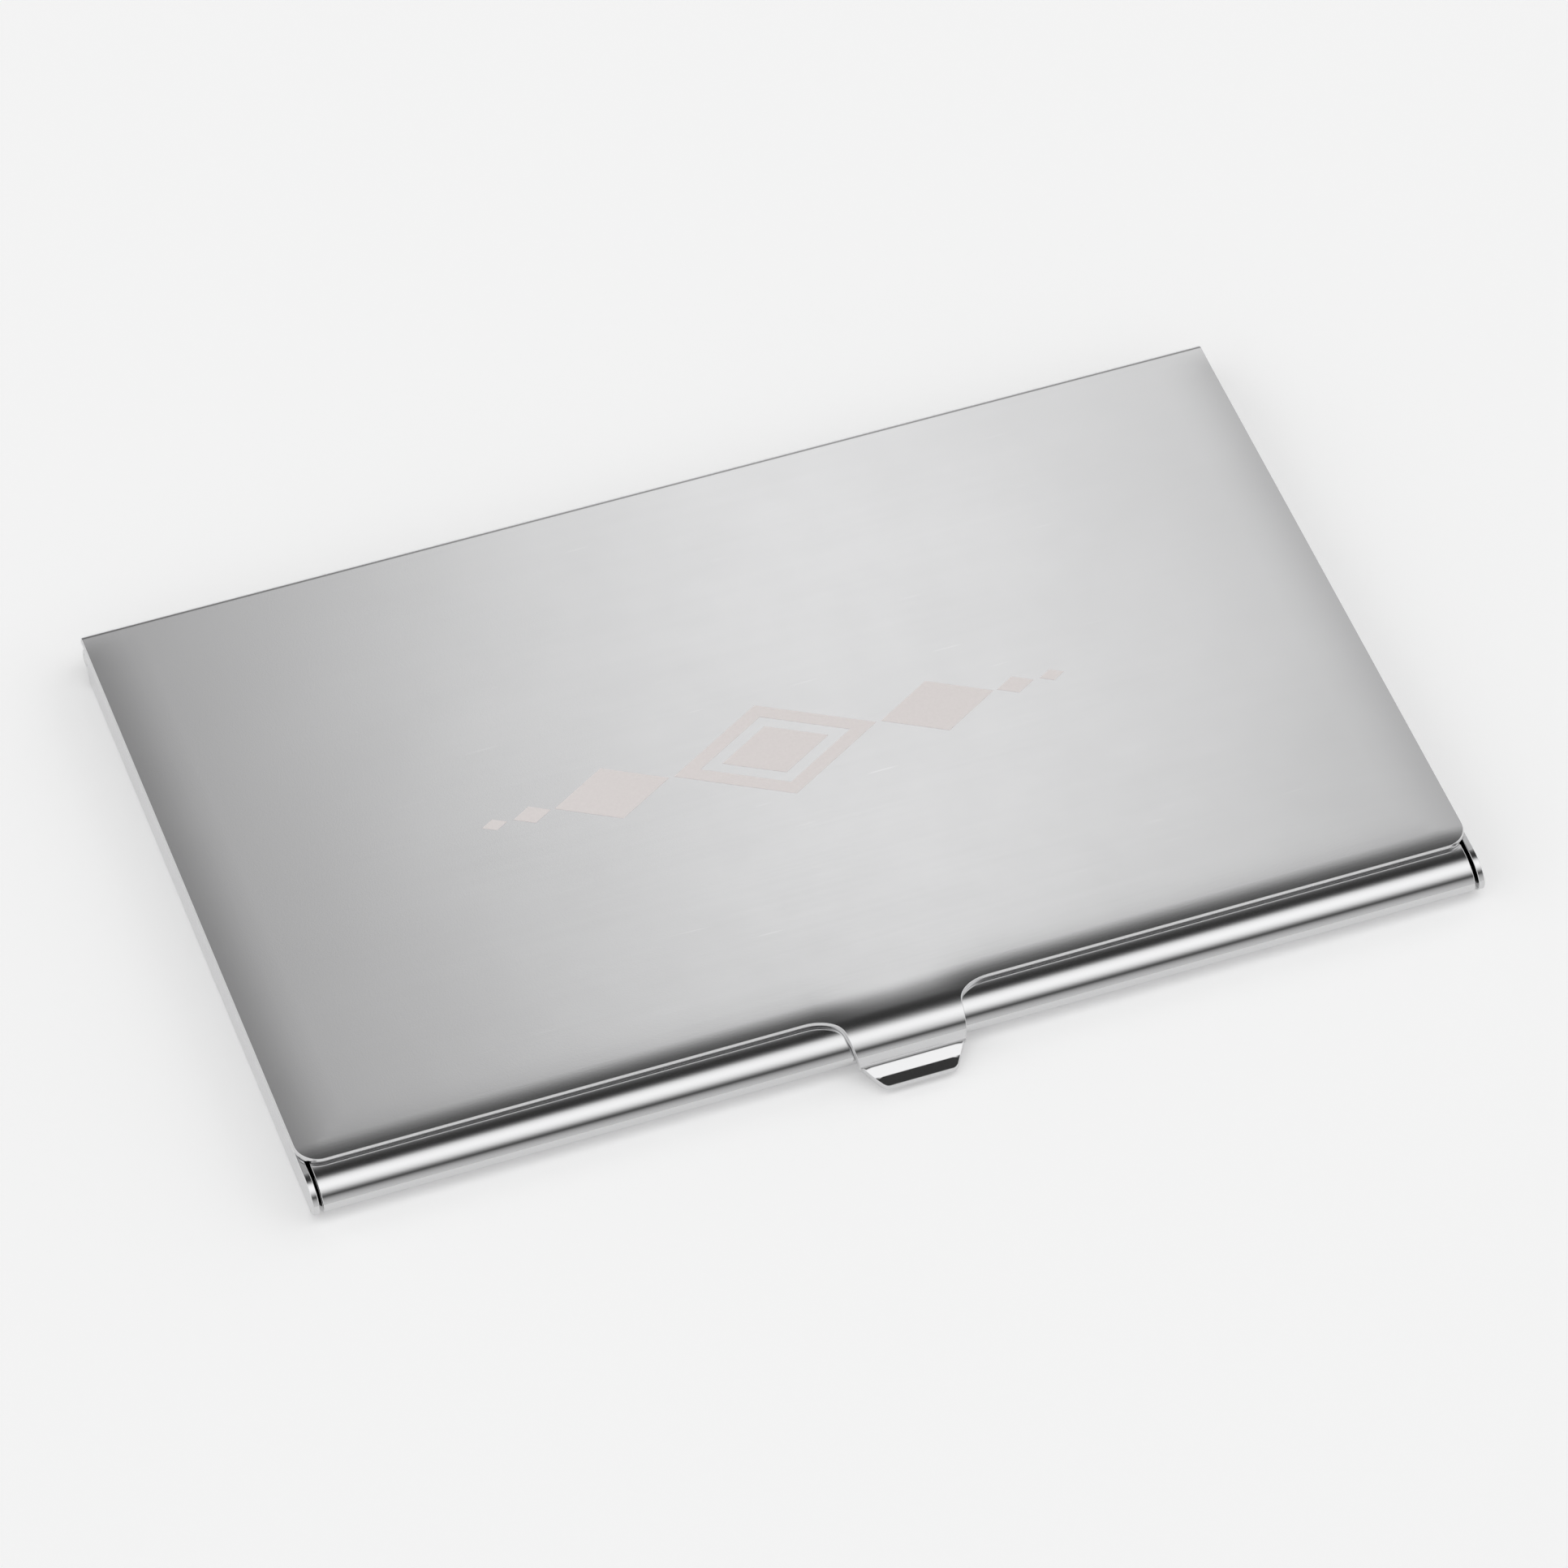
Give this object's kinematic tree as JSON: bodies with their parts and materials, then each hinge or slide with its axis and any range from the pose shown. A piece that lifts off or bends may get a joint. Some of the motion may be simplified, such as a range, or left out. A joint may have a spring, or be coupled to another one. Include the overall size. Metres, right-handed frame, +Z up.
{
  "type": "business card case",
  "caption": "Slim hinged metal case for business cards: pressed tray with a rolled front edge, flat lid with a thumb tab, and a card lifter inside.",
  "frame": {"origin": "middle of the underside of the whole closed case, on the surface it lies on", "axes": "+X across the case to the right, +Y from the thumb tab to the hinge, +Z up through the lid"},
  "size_m": [0.093, 0.0607, 0.0037],
  "materials": {
    "satin_steel": "fine satin, soft sheen",
    "polished_steel": "polished",
    "spring_steel": "rolled, slightly darker"
  },
  "bodies": {
    "tray": {"base_shell": "satin_steel", "hinge_pin_left": "polished_steel", "hinge_pin_right": "polished_steel", "snap_spring_left": "spring_steel", "snap_spring_right": "spring_steel", "spring_rivet_left": "polished_steel", "spring_rivet_right": "polished_steel"},
    "lid": {"lid": "satin_steel", "hinge_ear_left": "satin_steel", "hinge_ear_right": "satin_steel"},
    "lifter": {"card_lifter": "satin_steel"}
  },
  "joints": [
    {"name": "lid_hinge", "type": "hinge", "parent": "tray", "child": "lid", "pos_m": [0, 0.02865, 0.00225], "axis": [-1, 0, 0], "range_deg": [0, 90]},
    {"name": "lifter_tilt", "type": "hinge", "parent": "tray", "child": "lifter", "pos_m": [0, 0.02865, 0.00225], "axis": [-1, 0, 0], "range_deg": [0, 9]}
  ],
  "couplings": [
    {"joint": "lifter_tilt", "follows": "lid_hinge", "ratio": 0.1}
  ]
}
